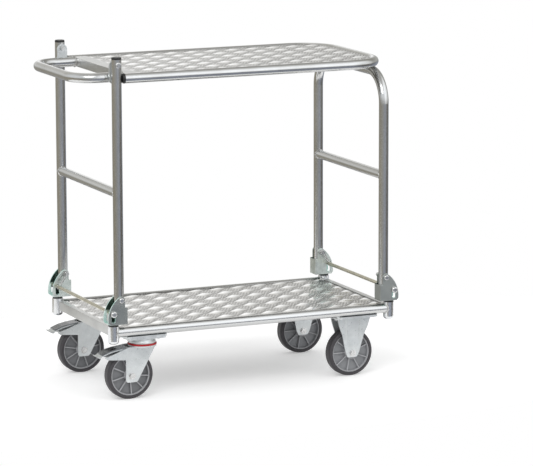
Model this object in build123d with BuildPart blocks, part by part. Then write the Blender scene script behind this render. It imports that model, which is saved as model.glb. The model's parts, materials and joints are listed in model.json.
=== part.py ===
from build123d import *
import math
import os

# Folding table trolley: a base on four casters, two hinged tubular legs at the handle end
# that carry a flip-over shelf, and a hinged bow at the other end that the shelf rests on.
# Millimetres. X is the length, with the handle towards -X, and Y the depth, with the back
# towards +Y. The pieces are drawn about the middle of the base, with heights from a level a little
# above the floor, and then moved so that the origin lies on the floor under the middle of the
# whole trolley.

# Main frame
TUBE_R = 13.45
TUBE_WALL = 2.0
CROSSBAR_R = 12.5
SIDE_Y = 215.0  # legs, rails and shelf sides all stand in these two planes
PIVOT_X = 392.0
PIVOT_Z = 277.0
SHELF_PIVOT_Z = 908.0
GAP = 0.1  # between pieces welded or pushed together along a curved face
CLEAR = 0.4  # between curved faces that part when the trolley folds
RUNNING = 0.05  # radial clearance of pins and axles
SEAT = 0.3  # between a sheet or bar and the tube it lies along

# Base
STUB_X = 408.5
STUB_R = 15.0
STUB_WALL = 2.5
STUB_BOTTOM_Z = 156.0
STUB_TOP_Z = 205.0
STUB_ROUND = 9.0
RAIL_Z = 187.0
PLUG_TOP_Z = 211.0
PLUG_STEM = 18.0
END_BAR_Z = (173.5, 199.0)
END_BAR_X = (396.0, 410.5)
END_BAR_WALL = 3.0
BASE_DECK_TOP_Z = 196.5
SHEET = 2.0
CORNER_NOTCH = 14.0
CARRIER_X = 314.0
CARRIER_LENGTH = 115.0
CARRIER_WIDTH = 452.0
CARRIER_THICK = 6.0
PLATE_ROUND = 8.0  # corners of carriers and caster plates

# Hinge brackets, measured from the pivot: outwards and upwards are positive
BRACKET_INNER = -17.5
BRACKET_OUTER = 38.0
BRACKET_NECK = -10.5
BRACKET_STEP = -20.0
BRACKET_SHOULDER = -50.0
BRACKET_BACK = (28.0, -16.0)  # a point on the rounded back
BRACKET_CHAMFER = (5.0, 6.0)
BRACKET_WEB = 3.5
BRACKET_WEB_TOP = -22.0
BRACKET_BOTTOM = PLUG_TOP_Z - PIVOT_Z
BRACKET_FLOOR = 3.0
BRACKET_HEAD_R = 10.5
BRACKET_GAP = 15.0  # half the space between the two plates
BRACKET_PLATE = 4.0
PIVOT_BOLT_R = 5.0
PIVOT_HEAD_R = 7.5
PIVOT_NUT_R = 8.5
BOLT_HEAD = 6.0  # height of bolt heads and nuts
BOLT_ROUND = 3.0
LEG_TAIL = 34.0

# Lock rods and their return springs
ROD_R = 5.0
ROD_OUT = 23.5
ROD_DROP = 35.5
ROD_TRAVEL = 19.0
SLOT_WIDTH = 11.0
CAP_R = 9.0
CAP_LENGTH = 9.0
CAP_ROUND = 4.5
CAP_LIFT = 0.6  # off the bracket's cheek
SPRING_Y = 184.5
SPRING_WIRE_R = 0.7
SPRING_COIL_R = 3.75
SPRING_HOOK_R = 6.05
SPRING_TURNS = 8
SPRING_LEAD = 8.5  # from a hook's centre to where the wire turns into the coil
SPRING_EASE = 2.6  # from there to the first full turn

# Left legs, shelf and handle
LEG_TOP_Z = 922.0
CAP_TOP_Z = 928.0
LEG_CAP_STEM = 5.0
LEG_CAP_ROUND = 2.5
LEFT_CROSSBAR_Z = 563.0
SHELF_BOLT_R = 4.0
SHELF_HEAD_R = 8.0
SHELF_NUT_R = 7.0
SHELF_HEAD = 5.0
SHELF_NUT_LIFT = 1.0  # off the hinge plate
BOLT_TIP = 1.5  # of a bolt past its nut
SHELF_Z = 870.5
SHELF_END_X = 400.0
SHELF_CORNER_R = 105.0
SHELF_OPEN_X = -362.0  # the profile's outer face
SHELF_TUBE_X = -370.0  # the open ends of the tube
STOP_TIP_X = -377.5
STOP_ROUND = 6.0
STOP_STEM = 16.0
PROFILE_WIDTH = 40.0
PROFILE_Z = (858.0, 882.0)
SHELF_DECK_TOP_Z = 880.5
STRIP_X = (-150.0, 70.0, 345.0)
STRIP_WIDTH = 44.0
STRIP_THICK = 3.0
END_STRIP_HALF = 150.0
HANDLE_X = -489.55
HANDLE_Y = 177.0
HANDLE_CORNER_R = 70.0
HINGE_PLATE_WIDTH = 29.0
HINGE_BLOCK = (24.0, 19.5)  # width and height
HINGE_PLATE_Z = (854.0, 918.0)
HINGE_PLATE_Y = (195.5, 200.0)

# Right bow and the clips that hold it
BOW_TOP_Z = 843.0
BOW_CORNER_R = 84.0
BOW_CROSSBAR_Z = 560.0
CLIP_Y = 75.0
CLIP_LENGTH = 64.0
CLIP_X = (374.0, 412.0)
CLIP_Z = (848.0, 866.0)

# Casters
AXLE_Z = 62.5
TYRE_R = 66.0
WHEEL_WIDTH = 32.0
RIM_R = 55.5
HUB_R = 17.0
HUB_WIDTH = 40.0
RIM_RING = 3.0
RIM_WEB = 8.0
RIM_INSET = 2.0  # of the ring from the tyre's side
RIB_COUNT = 9
RIB_WIDTH = 3.0
RIB_INSET = 3.0  # of the ribs from the ring's edge
RIB_ROOT = 2.0  # of the ribs into the hub and the ring
TYRE_ROUND = 7.0
AXLE_R = 6.0
FORK_INNER = 22.0  # half the space between the two fork plates
FORK_PLATE = 4.0
PLATE_LENGTH = 110.0
PLATE_WIDTH = 85.0
PLATE_THICK = 4.0
FIXED_X = 310.0
FIXED_Y = 165.0
SWIVEL_X = -314.0
SWIVEL_Y = 183.0
TRAIL = 40.0
CROWN_Z = (139.0, 143.2)
CROWN_R = 39.0
SEAL_TOP_Z = 148.2
SEAL_R = (31.0, 39.5)
SEAL_ROUND = 1.5
KING_PIN_R = 6.0
MOUNT_BOLT_X = 42.0
MOUNT_BOLT_Y = 14.0
MOUNT_BOLT_R = 4.0
AXLE_HEAD_R = 8.0
AXLE_WASHER = (9.5, 1.5)  # radius and thickness
FIXED_FOOT_ROUND = 6.0
FIXED_CHANNEL_DEPTH = 2.2
SWIVEL_HEAD_R = (34.5, 37.0)
SWIVEL_HEAD_RIM = (4.0, 8.0)  # heights where the head starts and ends narrowing
PIN_HEAD = (10.0, 5.0)  # radius and height
SWIVEL_FOOT_ROUND = 6.0
FORK_BRIDGE = (15.0, 70.0)  # where the crown joins the cheeks, from the axle
PEDAL_PIVOT = (-335.0, 134.0)
PEDAL_HALF_WIDTH = 20.0
PEDAL_SHEET = 3.0
PEDAL_PAD = 3.0
PEDAL_PAD_INSET = 1.0  # from the lever's sides
PEDAL_PIN_R = 3.0
PEDAL_PIN_END = 2.0  # past the fork
MOUNT_NUT_R = 7.2
MOUNT_HEAD_R = 6.4

# Derived heights
CARRIER_TOP_Z = RAIL_Z - TUBE_R - GAP
CARRIER_BOTTOM_Z = CARRIER_TOP_Z - CARRIER_THICK
PLATE_BOTTOM_Z = CARRIER_BOTTOM_Z - PLATE_THICK
BRACKET_OUTER_Y = BRACKET_GAP + BRACKET_PLATE
ROD_X = PIVOT_X + ROD_OUT
ROD_Z = PIVOT_Z - ROD_DROP
FORK_OUTER = FORK_INNER + FORK_PLATE
TUBE_BORE = TUBE_R - TUBE_WALL
BETWEEN_TUBES_Y = SIDE_Y - TUBE_R - SEAT
MIDDLE_X = (HANDLE_X - TUBE_R + PIVOT_X + BRACKET_OUTER) / 2  # of the whole trolley
FLOOR_Z = AXLE_Z - TYRE_R

SIDES = {"front": -1, "rear": 1}
ENDS = {"left": -1, "right": 1}

os.makedirs("parts", exist_ok=True)


def save(part, name):
    placed = part.moved(Location((-MIDDLE_X, 0, -FLOOR_Z)))
    placed.label = name
    export_step(placed, f"parts/{name}.step")


def upright(out, x, y, z):
    """A plane standing along X at (x, y, z); its first axis points to out (+1 or -1 in X)."""
    return Plane(origin=(x, y, z), x_dir=(out, 0, 0), z_dir=(0, -out, 0))


def beside_tube(height):
    """From a tube's axis to a sheet that lies against it at a height above the axis."""
    return math.sqrt(TUBE_R**2 - height**2) + SEAT


def ring_sketch(outer, inner):
    Circle(outer)
    Circle(inner, mode=Mode.SUBTRACT)


def bent_tube(points, corner_r, radius, wall):
    """A round tube along straight runs joined by equal bends."""
    with BuildPart() as tube:
        with BuildLine():
            path = FilletPolyline(*points, radius=corner_r)
        with BuildSketch(Plane(origin=path @ 0, z_dir=path % 0)):
            ring_sketch(radius, radius - wall)
        sweep()
    return tube.part


def cross_drill(part, x, z, radius):
    """A hole right through along Y."""
    with BuildPart() as drilled:
        add(part)
        with BuildSketch(upright(1, x, 0, z)):
            Circle(radius)
        extrude(amount=2 * SIDE_Y, both=True, mode=Mode.SUBTRACT)
    return drilled.part


def coped_crossbar(x, z):
    """A tube between two legs, with its ends cut to the round of the legs."""
    with BuildPart() as bar:
        with BuildSketch(Plane.XZ.offset(-SIDE_Y)):
            with Locations((x, z)):
                ring_sketch(CROSSBAR_R, CROSSBAR_R - TUBE_WALL)
        extrude(amount=2 * SIDE_Y)
        with Locations((x, -SIDE_Y, z), (x, SIDE_Y, z)):
            Cylinder(TUBE_R + GAP, 4 * TUBE_R, mode=Mode.SUBTRACT)
    return bar.part


# Base rails along the front and back
for side, sign in SIDES.items():
    rail_half = STUB_X
    with BuildPart() as rail:
        with BuildSketch(Plane.YZ.offset(-rail_half)):
            with Locations((sign * SIDE_Y, RAIL_Z)):
                ring_sketch(TUBE_R, TUBE_BORE)
        extrude(amount=2 * rail_half)
        with Locations((-STUB_X, sign * SIDE_Y, RAIL_Z), (STUB_X, sign * SIDE_Y, RAIL_Z)):
            Cylinder(STUB_R + GAP, 4 * STUB_R, mode=Mode.SUBTRACT)
    save(rail.part, f"base_rail_{side}")

# Corner stubs: round-bottomed tubes that take the bracket plugs
for end, out in ENDS.items():
    stub_height = STUB_TOP_Z - STUB_BOTTOM_Z
    with BuildPart() as stubs:
        for sign in SIDES.values():
            with BuildSketch(Plane(origin=(out * STUB_X, sign * SIDE_Y, STUB_BOTTOM_Z))):
                Circle(STUB_R)
            extrude(amount=stub_height)
        fillet(stubs.faces().sort_by(Axis.Z)[:2].edges(), radius=STUB_ROUND)
        for sign in SIDES.values():
            floor_z = STUB_BOTTOM_Z + 2 * STUB_WALL
            with BuildSketch(Plane(origin=(out * STUB_X, sign * SIDE_Y, floor_z))):
                Circle(STUB_R - STUB_WALL)
            extrude(amount=stub_height, mode=Mode.SUBTRACT)
    save(stubs.part, f"corner_stubs_{end}")

# End bars: channels between the stubs, flat face outwards
for end, out in ENDS.items():
    bar_height = END_BAR_Z[1] - END_BAR_Z[0]
    bar_depth = END_BAR_X[1] - END_BAR_X[0]
    bar_half = SIDE_Y - STUB_R - SEAT
    with BuildPart() as end_bar:
        with BuildSketch(upright(out, out * END_BAR_X[0], bar_half * out, END_BAR_Z[0])):
            Rectangle(bar_depth, bar_height, align=(Align.MIN, Align.MIN))
            with Locations((-END_BAR_WALL, END_BAR_WALL)):
                Rectangle(
                    bar_depth,
                    bar_height - 2 * END_BAR_WALL,
                    align=(Align.MIN, Align.MIN),
                    mode=Mode.SUBTRACT,
                )
        extrude(amount=2 * bar_half)
    save(end_bar.part, f"base_end_bar_{end}")

# Base deck sheet, notched round the stubs
with BuildPart() as base_deck:
    deck_length = 2 * (END_BAR_X[0] - SEAT)
    deck_width = 2 * (SIDE_Y - beside_tube(BASE_DECK_TOP_Z - SHEET - RAIL_Z))
    with BuildSketch(Plane.XY.offset(BASE_DECK_TOP_Z - SHEET)):
        Rectangle(deck_length, deck_width)
        with GridLocations(deck_length, deck_width, 2, 2):
            Rectangle(2 * CORNER_NOTCH, 2 * CORNER_NOTCH, mode=Mode.SUBTRACT)
    extrude(amount=SHEET)
save(base_deck.part, "base_deck")

# Caster carriers: flat plates welded across under the rails, drilled for the caster bolts
CASTERS = {
    "left": [(SWIVEL_X, -SWIVEL_Y), (SWIVEL_X, SWIVEL_Y)],
    "right": [(FIXED_X, -FIXED_Y), (FIXED_X, FIXED_Y)],
}
for end, out in ENDS.items():
    with BuildPart() as carrier:
        with BuildSketch(Plane.XY.offset(CARRIER_BOTTOM_Z)):
            with Locations((out * CARRIER_X, 0)):
                RectangleRounded(CARRIER_LENGTH, CARRIER_WIDTH, PLATE_ROUND)
            for x, y in CASTERS[end]:
                with Locations((x, y)):
                    with GridLocations(2 * MOUNT_BOLT_X, 2 * MOUNT_BOLT_Y, 2, 2):
                        Circle(MOUNT_BOLT_R + GAP, mode=Mode.SUBTRACT)
        extrude(amount=CARRIER_THICK)
    save(carrier.part, f"caster_carrier_{end}")


# Hinge brackets: channels with two slotted cheek plates
def hinge_bracket(out, y):
    with BuildPart() as bracket:
        plane = upright(out, out * PIVOT_X, y, PIVOT_Z)
        with BuildSketch(plane):
            shoulder = (BRACKET_OUTER, BRACKET_SHOULDER)
            neck = (BRACKET_NECK, 0)
            head_side = BRACKET_HEAD_R * math.sin(math.radians(60))
            head_end = (BRACKET_HEAD_R / 2, head_side)
            with BuildLine():
                Polyline(
                    shoulder,
                    (BRACKET_OUTER, BRACKET_BOTTOM + BRACKET_CHAMFER[1]),
                    (BRACKET_OUTER - BRACKET_CHAMFER[0], BRACKET_BOTTOM),
                    (BRACKET_INNER, BRACKET_BOTTOM),
                    (BRACKET_INNER, BRACKET_STEP),
                    (BRACKET_NECK, BRACKET_STEP),
                    neck,
                )
                ThreePointArc(neck, (-BRACKET_HEAD_R / 2, head_side), head_end)
                ThreePointArc(head_end, BRACKET_BACK, shoulder)
            make_face()
            Circle(PIVOT_BOLT_R + RUNNING, mode=Mode.SUBTRACT)
            with Locations((ROD_OUT, -ROD_DROP - ROD_TRAVEL / 2)):
                SlotCenterToCenter(ROD_TRAVEL, SLOT_WIDTH, rotation=90, mode=Mode.SUBTRACT)
        extrude(amount=BRACKET_OUTER_Y, both=True)
        web_face = BRACKET_INNER + BRACKET_WEB
        with BuildSketch(plane):
            with Locations((web_face, BRACKET_BOTTOM + BRACKET_FLOOR)):
                Rectangle(2 * PIVOT_Z, 2 * PIVOT_Z, align=(Align.MIN, Align.MIN))
            with Locations((web_face + BRACKET_WEB, BRACKET_WEB_TOP)):
                Rectangle(2 * PIVOT_Z, 2 * PIVOT_Z, align=(Align.MAX, Align.MIN))
        extrude(amount=BRACKET_GAP, both=True, mode=Mode.SUBTRACT)
    return bracket.part


for end, out in ENDS.items():
    for side, sign in SIDES.items():
        save(hinge_bracket(out, sign * SIDE_Y), f"hinge_bracket_{side}_{end}")

# Plugs between the stubs and the brackets
with BuildPart() as stub_plugs:
    with BuildSketch(Plane.XY.offset(STUB_TOP_Z)):
        with GridLocations(2 * STUB_X, 2 * SIDE_Y, 2, 2):
            Circle(STUB_R - STUB_WALL / 2)
    extrude(amount=PLUG_TOP_Z - STUB_TOP_Z)
    with BuildSketch(Plane.XY.offset(STUB_TOP_Z)):
        with GridLocations(2 * STUB_X, 2 * SIDE_Y, 2, 2):
            Circle(STUB_R - STUB_WALL - GAP)
    extrude(amount=-PLUG_STEM)
save(stub_plugs.part, "stub_plugs")


# Pivot bolts of the legs: head outside, nut inside and an end that carries the spring hook
def pivot_bolt(x, sign):
    inner_face = SIDE_Y - BRACKET_OUTER_Y
    bolt_end = SPRING_Y - BOLT_HEAD
    with BuildPart() as bolt:
        with BuildSketch(upright(1, x, sign * bolt_end, PIVOT_Z)):
            Circle(PIVOT_BOLT_R)
        extrude(amount=-sign * (SIDE_Y + BRACKET_OUTER_Y - bolt_end))
        with BuildSketch(upright(1, x, sign * (SIDE_Y + BRACKET_OUTER_Y), PIVOT_Z)):
            Circle(PIVOT_HEAD_R)
        extrude(amount=-sign * BOLT_HEAD)
        fillet(bolt.faces().sort_by(Axis.Y)[-1 if sign > 0 else 0].edges(), radius=BOLT_ROUND)
        with BuildSketch(upright(1, x, sign * inner_face, PIVOT_Z)):
            RegularPolygon(PIVOT_NUT_R, 6)
        extrude(amount=sign * BOLT_HEAD)
    return bolt.part


with BuildPart() as base_pivot_bolts:
    for out in ENDS.values():
        for sign in SIDES.values():
            add(pivot_bolt(out * PIVOT_X, sign))
save(base_pivot_bolts.part, "base_pivot_bolts")


# Return springs: one wire from a hook on the pivot bolt through the coil to a hook on the rod
def biarc(start, start_dir, end, end_dir):
    """Two arcs that leave start along start_dir and reach end along end_dir."""
    chord = end - start
    both = start_dir + end_dir
    square = 2 * (1 - start_dir.dot(end_dir))
    along = chord.dot(both)
    if square < 1e-6:
        reach = chord.dot(chord) / (2 * along)
    else:
        root = along * along + square * chord.dot(chord)
        reach = (math.sqrt(root) - along) / square
    first = start + start_dir * reach
    second = end - end_dir * reach
    middle = (first + second) * 0.5
    TangentArc(start, middle, tangent=start_dir)
    TangentArc(middle, end, tangent=(second - first).normalized())


def return_spring(out, sign):
    bolt = Vector(out * PIVOT_X, sign * SPRING_Y, PIVOT_Z)
    rod = Vector(out * ROD_X, sign * SPRING_Y, ROD_Z)
    length = (rod - bolt).length
    along = (rod - bolt).normalized()
    depth = Vector(0, sign, 0)
    across = along.cross(depth)
    turn_in = math.radians(80)
    coil_start = SPRING_LEAD + SPRING_EASE
    coil_length = length - 2 * coil_start
    swept = 2 * math.pi * SPRING_TURNS - 2 * turn_in
    rise = coil_length / swept

    def hook_point(centre, angle, way):
        flat = across * math.cos(angle) + along * (way * math.sin(angle))
        return centre + flat * SPRING_HOOK_R

    def hook_dir(angle, way):
        # towards the coil on the bolt's hook and away from it on the rod's
        return across * (way * -math.sin(angle)) + along * math.cos(angle)

    def coil_point(angle):
        round_axis = across * math.cos(angle) + depth * math.sin(angle)
        return bolt + along * (coil_start + rise * (angle - turn_in)) + round_axis * SPRING_COIL_R

    def coil_dir(angle):
        round_axis = depth * math.cos(angle) - across * math.sin(angle)
        return (round_axis * SPRING_COIL_R + along * rise).normalized()

    hook_steps = [math.radians(step) for step in (220, 150, 75, 0)]
    quarter_turns = round(swept / (math.pi / 2))
    with BuildLine() as wire:
        for begin, finish in zip(hook_steps, hook_steps[1:]):
            TangentArc(
                hook_point(bolt, begin, -1),
                hook_point(bolt, finish, -1),
                tangent=hook_dir(begin, -1),
            )
        lead = bolt + along * SPRING_LEAD + across * SPRING_COIL_R
        biarc(hook_point(bolt, 0, -1), along, lead, along)
        biarc(lead, along, coil_point(turn_in), coil_dir(turn_in))
        for quarter in range(quarter_turns):
            begin = turn_in + swept * quarter / quarter_turns
            finish = turn_in + swept * (quarter + 1) / quarter_turns
            biarc(coil_point(begin), coil_dir(begin), coil_point(finish), coil_dir(finish))
        last = turn_in + swept
        tail = rod - along * SPRING_LEAD + across * SPRING_COIL_R
        biarc(coil_point(last), coil_dir(last), tail, along)
        biarc(tail, along, hook_point(rod, 0, 1), along)
        for begin, finish in zip(hook_steps[::-1], hook_steps[-2::-1]):
            TangentArc(
                hook_point(rod, begin, 1),
                hook_point(rod, finish, 1),
                tangent=hook_dir(begin, 1),
            )
    return wire


def least_gap(wire, radius, steps=500, skip=4.5):
    """Least free space between stretches of wire that lie more than skip apart along it."""
    run = wire.wires()[0]
    points = [run @ (step / steps) for step in range(steps + 1)]
    stride = int(skip / run.length * steps) + 1
    gaps = []
    for index, point in enumerate(points):
        for other in points[index + stride :]:
            gaps.append((point - other).length)
    return min(gaps) - 2 * radius


for end, out in ENDS.items():
    with BuildPart() as springs:
        for side, sign in SIDES.items():
            spring_wire = return_spring(out, sign)
            spring_run = spring_wire.wires()[0]
            with BuildSketch(Plane(origin=spring_run @ 0, z_dir=spring_run % 0)):
                Circle(SPRING_WIRE_R)
            sweep(path=spring_run)
            print(f"spring {side} {end}: least gap {least_gap(spring_wire, SPRING_WIRE_R):.2f} mm")
    save(springs.part, f"return_springs_{end}")

# Lock rods, which lie across each end through the slots of both brackets, and their caps
for end, out in ENDS.items():
    rod_half = SIDE_Y + BRACKET_OUTER_Y + CAP_LENGTH / 2
    with BuildPart() as lock_rod:
        with BuildSketch(upright(1, out * ROD_X, rod_half, ROD_Z)):
            Circle(ROD_R)
        extrude(amount=2 * rod_half)
    save(lock_rod.part, f"lock_rod_{end}")
    with BuildPart() as rod_caps:
        for sign in SIDES.values():
            cap_face = sign * (SIDE_Y + BRACKET_OUTER_Y + CAP_LIFT)
            with BuildSketch(upright(1, out * ROD_X, cap_face, ROD_Z)):
                Circle(CAP_R)
            extrude(amount=-sign * CAP_LENGTH)
            fillet(rod_caps.faces().sort_by(Axis.Y)[-1 if sign > 0 else 0].edges(), radius=CAP_ROUND)
        with BuildSketch(upright(1, out * ROD_X, rod_half + GAP, ROD_Z)):
            Circle(ROD_R + RUNNING)
        extrude(amount=2 * (rod_half + GAP), mode=Mode.SUBTRACT)
    save(rod_caps.part, f"lock_rod_caps_{end}")

# Left legs, with open ends below and caps above
for side, sign in SIDES.items():
    leg_bottom = PIVOT_Z - LEG_TAIL
    with BuildPart() as left_leg:
        with BuildSketch(Plane(origin=(-PIVOT_X, sign * SIDE_Y, leg_bottom))):
            ring_sketch(TUBE_R, TUBE_BORE)
        extrude(amount=LEG_TOP_Z - leg_bottom)
    drilled_leg = cross_drill(left_leg.part, -PIVOT_X, PIVOT_Z, PIVOT_BOLT_R + RUNNING)
    drilled_leg = cross_drill(drilled_leg, -PIVOT_X, SHELF_PIVOT_Z, SHELF_BOLT_R + RUNNING)
    save(drilled_leg, f"left_leg_{side}")

save(coped_crossbar(-PIVOT_X, LEFT_CROSSBAR_Z), "left_crossbar")

with BuildPart() as leg_caps:
    with Locations((-PIVOT_X, -SIDE_Y, LEG_TOP_Z), (-PIVOT_X, SIDE_Y, LEG_TOP_Z)):
        Cylinder(TUBE_R, CAP_TOP_Z - LEG_TOP_Z, align=(Align.CENTER, Align.CENTER, Align.MIN))
        Cylinder(TUBE_BORE - GAP, LEG_CAP_STEM, align=(Align.CENTER, Align.CENTER, Align.MAX))
    fillet(leg_caps.edges().group_by(Axis.Z)[-1], radius=LEG_CAP_ROUND)
save(leg_caps.part, "leg_caps")


# Shelf pivot bolts: head on the leg, nut inside the hinge plate
def shelf_bolt(sign):
    nut_face = HINGE_PLATE_Y[0] - SHELF_NUT_LIFT
    bolt_end = nut_face - BOLT_HEAD - BOLT_TIP
    with BuildPart() as bolt:
        with BuildSketch(upright(1, -PIVOT_X, sign * bolt_end, SHELF_PIVOT_Z)):
            Circle(SHELF_BOLT_R)
        extrude(amount=-sign * (SIDE_Y + TUBE_R - bolt_end))
        with BuildSketch(upright(1, -PIVOT_X, sign * (SIDE_Y + TUBE_R + GAP), SHELF_PIVOT_Z)):
            Circle(SHELF_HEAD_R)
        extrude(amount=-sign * SHELF_HEAD)
        fillet(bolt.faces().sort_by(Axis.Y)[-1 if sign > 0 else 0].edges(), radius=BOLT_ROUND)
        with BuildSketch(upright(1, -PIVOT_X, sign * nut_face, SHELF_PIVOT_Z)):
            RegularPolygon(SHELF_NUT_R, 6)
        extrude(amount=sign * BOLT_HEAD)
        with BuildSketch(upright(1, -PIVOT_X, sign * (SIDE_Y + TUBE_R), SHELF_PIVOT_Z)):
            Circle(SHELF_BOLT_R)
        extrude(amount=-sign * 2 * GAP)
    return bolt.part


with BuildPart() as shelf_pivot_bolts:
    for sign in SIDES.values():
        add(shelf_bolt(sign))
save(shelf_pivot_bolts.part, "shelf_pivot_bolts")

# Shelf tube, a long U that is open towards the legs
shelf_points = [
    (SHELF_TUBE_X, -SIDE_Y, SHELF_Z),
    (SHELF_END_X, -SIDE_Y, SHELF_Z),
    (SHELF_END_X, SIDE_Y, SHELF_Z),
    (SHELF_TUBE_X, SIDE_Y, SHELF_Z),
]
save(bent_tube(shelf_points, SHELF_CORNER_R, TUBE_R, TUBE_WALL), "shelf_tube")

# Shelf deck sheet, rounded to fit inside the bends
with BuildPart() as shelf_deck:
    tube_inset = beside_tube(SHELF_DECK_TOP_Z - SHEET - SHELF_Z)
    deck_left = SHELF_OPEN_X + PROFILE_WIDTH + SEAT
    deck_right = SHELF_END_X - tube_inset
    deck_width = 2 * (SIDE_Y - tube_inset)
    with BuildSketch(Plane.XY.offset(SHELF_DECK_TOP_Z - SHEET)) as deck_outline:
        with Locations((deck_left, 0)):
            Rectangle(deck_right - deck_left, deck_width, align=(Align.MIN, Align.CENTER))
        fillet(deck_outline.vertices().group_by(Axis.X)[-1], SHELF_CORNER_R - tube_inset)
    extrude(amount=SHEET)
save(shelf_deck.part, "shelf_deck")

# End profile, a channel open below that closes the shelf towards the legs
with BuildPart() as shelf_end_profile:
    profile_height = PROFILE_Z[1] - PROFILE_Z[0]
    with BuildSketch(upright(1, SHELF_OPEN_X, BETWEEN_TUBES_Y, PROFILE_Z[0])):
        Rectangle(PROFILE_WIDTH, profile_height, align=(Align.MIN, Align.MIN))
        with Locations((SHEET, -SHEET)):
            Rectangle(
                PROFILE_WIDTH - 2 * SHEET,
                profile_height,
                align=(Align.MIN, Align.MIN),
                mode=Mode.SUBTRACT,
            )
    extrude(amount=2 * BETWEEN_TUBES_Y)
save(shelf_end_profile.part, "shelf_end_profile")

# Flat strips under the shelf deck
with BuildPart() as shelf_cross_strips:
    strip_top = SHELF_DECK_TOP_Z - SHEET
    strip_half = {STRIP_X[-1]: END_STRIP_HALF}
    for x in STRIP_X:
        with BuildSketch(Plane.XY.offset(strip_top)):
            with Locations((x, 0)):
                Rectangle(STRIP_WIDTH, 2 * strip_half.get(x, BETWEEN_TUBES_Y))
        extrude(amount=-STRIP_THICK)
save(shelf_cross_strips.part, "shelf_cross_strips")

# Handle, a short bow that ends on the profile
handle_end = SHELF_OPEN_X - GAP
handle_points = [
    (handle_end, -HANDLE_Y, SHELF_Z),
    (HANDLE_X, -HANDLE_Y, SHELF_Z),
    (HANDLE_X, HANDLE_Y, SHELF_Z),
    (handle_end, HANDLE_Y, SHELF_Z),
]
save(bent_tube(handle_points, HANDLE_CORNER_R, TUBE_R, TUBE_WALL), "handle_bow")

# Hinge plates of the shelf, each welded to the handle by a shaped block
with BuildPart() as hinge_plates:
    plate_height = HINGE_PLATE_Z[1] - HINGE_PLATE_Z[0]
    plate_middle = (HINGE_PLATE_Z[0] + HINGE_PLATE_Z[1]) / 2
    for sign in SIDES.values():
        with BuildSketch(upright(1, -PIVOT_X, sign * HINGE_PLATE_Y[1], plate_middle)):
            SlotOverall(plate_height, HINGE_PLATE_WIDTH, rotation=90)
            with Locations((0, SHELF_PIVOT_Z - plate_middle)):
                Circle(SHELF_BOLT_R + RUNNING, mode=Mode.SUBTRACT)
        extrude(amount=sign * (HINGE_PLATE_Y[1] - HINGE_PLATE_Y[0]))
        with BuildSketch(upright(1, -PIVOT_X, sign * HINGE_PLATE_Y[0], SHELF_Z)):
            Rectangle(*HINGE_BLOCK)
        extrude(amount=sign * (HINGE_PLATE_Y[0] - HANDLE_Y - TUBE_R / 2))
    for sign in SIDES.values():
        with BuildSketch(Plane.YZ.offset(-PIVOT_X - HINGE_PLATE_WIDTH)):
            with Locations((sign * HANDLE_Y, SHELF_Z)):
                Circle(TUBE_R + GAP)
        extrude(amount=2 * HINGE_PLATE_WIDTH, mode=Mode.SUBTRACT)
save(hinge_plates.part, "hinge_plates")

# End stops in the open ends of the shelf tube
with BuildPart() as shelf_end_stops:
    for sign in SIDES.values():
        with BuildSketch(Plane.YZ.offset(STOP_TIP_X)):
            with Locations((sign * SIDE_Y, SHELF_Z)):
                Circle(TUBE_R)
        extrude(amount=SHELF_TUBE_X - STOP_TIP_X)
    fillet(shelf_end_stops.edges().group_by(Axis.X)[0], radius=STOP_ROUND)
    for sign in SIDES.values():
        with BuildSketch(Plane.YZ.offset(SHELF_TUBE_X)):
            with Locations((sign * SIDE_Y, SHELF_Z)):
                Circle(TUBE_BORE - GAP)
        extrude(amount=STOP_STEM)
save(shelf_end_stops.part, "shelf_end_stops")

# Support clips under the free end of the shelf: hooked over the far side of the bow only,
# so that the bow can leave towards the legs
with BuildPart() as support_clips:
    for sign in SIDES.values():
        with BuildSketch(upright(1, 0, sign * CLIP_Y + CLIP_LENGTH / 2, 0)):
            with Locations((CLIP_X[0], CLIP_Z[0])):
                Rectangle(CLIP_X[1] - CLIP_X[0], CLIP_Z[1] - CLIP_Z[0], align=(Align.MIN, Align.MIN))
            with Locations((SHELF_END_X, SHELF_Z)):
                Circle(TUBE_R + SEAT, mode=Mode.SUBTRACT)
            with Locations((PIVOT_X, BOW_TOP_Z)):
                Circle(TUBE_R + CLEAR, mode=Mode.SUBTRACT)
                Rectangle(
                    PIVOT_X,
                    2 * (TUBE_R + CLEAR),
                    align=(Align.MAX, Align.CENTER),
                    mode=Mode.SUBTRACT,
                )
        extrude(amount=CLIP_LENGTH)
save(support_clips.part, "support_clips")

# Right bow: two legs and the cross tube under the shelf, in one bend
bow_bottom = PIVOT_Z - LEG_TAIL
bow_points = [
    (PIVOT_X, -SIDE_Y, bow_bottom),
    (PIVOT_X, -SIDE_Y, BOW_TOP_Z),
    (PIVOT_X, SIDE_Y, BOW_TOP_Z),
    (PIVOT_X, SIDE_Y, bow_bottom),
]
right_bow = bent_tube(bow_points, BOW_CORNER_R, TUBE_R, TUBE_WALL)
save(cross_drill(right_bow, PIVOT_X, PIVOT_Z, PIVOT_BOLT_R + RUNNING), "right_bow")
save(coped_crossbar(PIVOT_X, BOW_CROSSBAR_Z), "right_crossbar")

# Fixed casters: top plate with two tapered cheeks, each pressed in along its middle
# Cheek from the axle: down its left edge, round the foot and up its right edge
FIXED_OUTLINE = [
    (-41, 82.5),
    (-31, 51),
    (-21, 3),
    (-15, -11),
    (13, -11),
    (20, 2),
    (34, 49),
    (46, 74),
]
FIXED_TOP = (-45, 55)
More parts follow.
